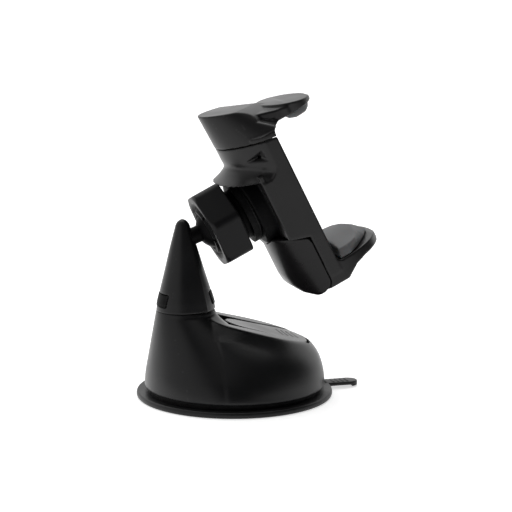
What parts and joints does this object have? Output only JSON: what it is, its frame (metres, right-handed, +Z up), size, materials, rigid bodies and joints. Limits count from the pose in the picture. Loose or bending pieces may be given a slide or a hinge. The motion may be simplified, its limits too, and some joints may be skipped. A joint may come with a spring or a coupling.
{
  "type": "car phone mount",
  "caption": "Black suction-cup dash phone mount: boot-shaped base with lock lever and cone, ball joint with hexagonal lock nut, tilted spring-jaw cradle with grey pads.",
  "frame": {"origin": "centre of the suction cup on its contact plane", "axes": "+Z up from the contact plane, +X towards the pull tab and the phone side, +Y across the width"},
  "size_m": [0.0988, 0.08, 0.1219],
  "materials": {
    "housing": "fine moulded texture",
    "gloss_housing": "semi-gloss",
    "inner_plastic": "matt",
    "rubber": "satin",
    "soft_pad": "translucent matt",
    "steel": "plated"
  },
  "bodies": {
    "base": {"suction_pad": "rubber", "skirt_ring": "inner_plastic", "base_housing": "housing", "deck_plate": "inner_plastic", "base_screws": "steel", "cam_washer": "steel", "return_spring": "steel", "cone_cap": "housing", "ball_stud": "inner_plastic", "stud_screw": "steel", "button_spring": "steel"},
    "stem": {"pad_centre": "rubber", "pull_stem": "steel", "lever_pin": "steel"},
    "lever": {"lock_lever": "housing"},
    "button_rear": {"release_button_rear": "inner_plastic"},
    "button_front": {"release_button_front": "inner_plastic"},
    "ball_swing": {"ball_liner": "inner_plastic"},
    "socket": {"collet": "inner_plastic", "swivel_retainer": "steel", "retainer_screws": "steel"},
    "nut": {"lock_nut": "housing"},
    "cradle": {"friction_washer": "rubber", "cradle_frame": "housing", "lower_rear_cover": "gloss_housing", "face_plate": "inner_plastic", "face_pad": "rubber", "frame_screws": "steel", "jaw_springs": "steel", "spring_posts": "steel", "lower_jaw_pad": "soft_pad"},
    "jaw": {"upper_jaw": "housing", "guide_rods": "steel", "upper_jaw_pad": "soft_pad"}
  },
  "joints": [
    {"name": "stem_drop", "type": "slide", "parent": "base", "child": "stem", "axis": [0, 0, -1], "range_m": [0, 0.00189], "deforming": ["return_spring"]},
    {"name": "lever_lift", "type": "hinge", "parent": "stem", "child": "lever", "pos_m": [0.0015, 0, 0.022], "axis": [0, -1, 0], "range_deg": [0, 70]},
    {"name": "button_rear_press", "type": "slide", "parent": "base", "child": "button_rear", "axis": [0.9994, 0, 0.0349], "range_m": [0, 0.0012], "stiffness_N_per_m": 900, "springref_m": -0.001, "deforming": ["button_spring"]},
    {"name": "button_front_press", "type": "slide", "parent": "base", "child": "button_front", "axis": [-0.9994, 0, -0.0349], "range_m": [0, 0.0012], "stiffness_N_per_m": 900, "springref_m": -0.001, "deforming": ["button_spring"]},
    {"name": "ball_yaw", "type": "hinge", "parent": "base", "child": "ball_swing", "pos_m": [-0.0072, 0, 0.0696], "axis": [0, 0, 1], "range_deg": [-20, 20]},
    {"name": "ball_pitch", "type": "hinge", "parent": "ball_swing", "child": "socket", "pos_m": [-0.0072, 0, 0.0696], "axis": [0, -1, 0], "range_deg": [-10, 20]},
    {"name": "nut_turn", "type": "hinge", "parent": "socket", "child": "nut", "pos_m": [-0.0072, 0, 0.0696], "axis": [-0.8926, 0, -0.4509], "range_deg": [0, 120]},
    {"name": "cradle_turn", "type": "hinge", "parent": "socket", "child": "cradle", "pos_m": [-0.0072, 0, 0.0696], "axis": [0.8926, 0, 0.4509], "continuous": true},
    {"name": "jaw_slide", "type": "slide", "parent": "cradle", "child": "jaw", "axis": [-0.4509, 0, 0.8926], "range_m": [0, 0.025], "stiffness_N_per_m": 160, "springref_m": -0.02, "deforming": ["jaw_springs"]}
  ],
  "couplings": [
    {"joint": "lever_lift", "follows": "stem_drop", "rad_per_m": 646.4}
  ]
}
